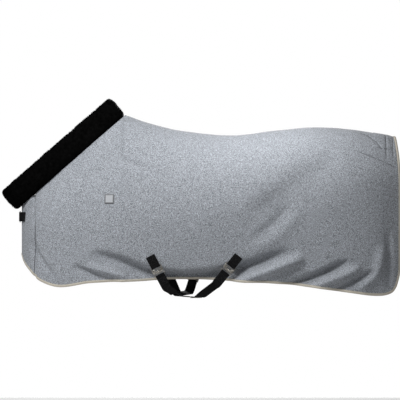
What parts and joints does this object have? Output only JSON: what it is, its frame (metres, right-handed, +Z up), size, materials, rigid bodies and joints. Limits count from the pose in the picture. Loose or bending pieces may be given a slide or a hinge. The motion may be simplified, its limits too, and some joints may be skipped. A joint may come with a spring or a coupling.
{
  "type": "horse rug",
  "caption": "Draped grey fleece horse rug with a black fur collar, pale edge binding, crossed belly surcingles and a chest strap closed by T-hooks.",
  "frame": {"origin": "the withers, where the collar meets the spine seam", "axes": "+X points to the tail, +Y to the off (right) side of the horse, +Z up"},
  "size_m": [2.1059, 0.649, 1.0459],
  "materials": {
    "fleece": "melange fleece, fine short pile",
    "fur": "short dense black faux fur",
    "binding": "woven binding tape",
    "webbing": "black woven polypropylene webbing",
    "metal": "nickel-plated, polished",
    "label": "plain woven label"
  },
  "bodies": {
    "rug": {"near_body_panel": "fleece", "near_chest_panel": "fleece", "near_tail_patch": "fleece", "near_edge_binding": "binding", "off_body_panel": "fleece", "off_chest_panel": "fleece", "off_tail_patch": "fleece", "off_edge_binding": "binding", "spine_tape": "binding", "fur_collar": "fur", "blank_label": "label", "front_near_tab": "webbing", "front_surcingle": "webbing", "front_off_patch": "webbing", "rear_near_tab": "webbing", "rear_surcingle": "webbing", "rear_off_patch": "webbing", "chest_near_tab": "webbing", "chest_near_strap": "webbing", "chest_off_strap": "webbing", "chest_hook_tape": "webbing", "chest_loop_tape": "webbing"},
    "front_fastener": {"front_slot_plate": "metal", "front_t_hook": "metal", "front_strap_loop": "webbing"},
    "rear_fastener": {"rear_slot_plate": "metal", "rear_t_hook": "metal", "rear_strap_loop": "webbing"},
    "chest_fastener": {"chest_slot_plate": "metal", "chest_t_hook": "metal", "chest_strap_loop": "webbing"},
    "front_adjuster": {"front_adjuster": "metal"},
    "rear_adjuster": {"rear_adjuster": "metal"}
  },
  "joints": [
    {"name": "front_fastener_swing", "type": "hinge", "parent": "rug", "child": "front_fastener", "pos_m": [0.16463, -0.28068, -0.80673], "axis": [-0.8793, 0.1332, -0.4572], "range_deg": [0, 30]},
    {"name": "rear_fastener_swing", "type": "hinge", "parent": "rug", "child": "rear_fastener", "pos_m": [0.56062, -0.30528, -0.79973], "axis": [-0.7797, -0.0549, 0.6238], "range_deg": [0, 30]},
    {"name": "chest_fastener_swing", "type": "hinge", "parent": "rug", "child": "chest_fastener", "pos_m": [-0.5595, -0.02395, -0.542], "axis": [0, 0, 1], "range_deg": [0, 30]},
    {"name": "front_adjuster_slide", "type": "slide", "parent": "rug", "child": "front_adjuster", "axis": [0.2838, 0.0284, 0.9585], "range_m": [-0.012, 0.028]},
    {"name": "rear_adjuster_slide", "type": "slide", "parent": "rug", "child": "rear_adjuster", "axis": [-0.1915, 0.9815, -0.0006], "range_m": [-0.012, 0.1]}
  ]
}
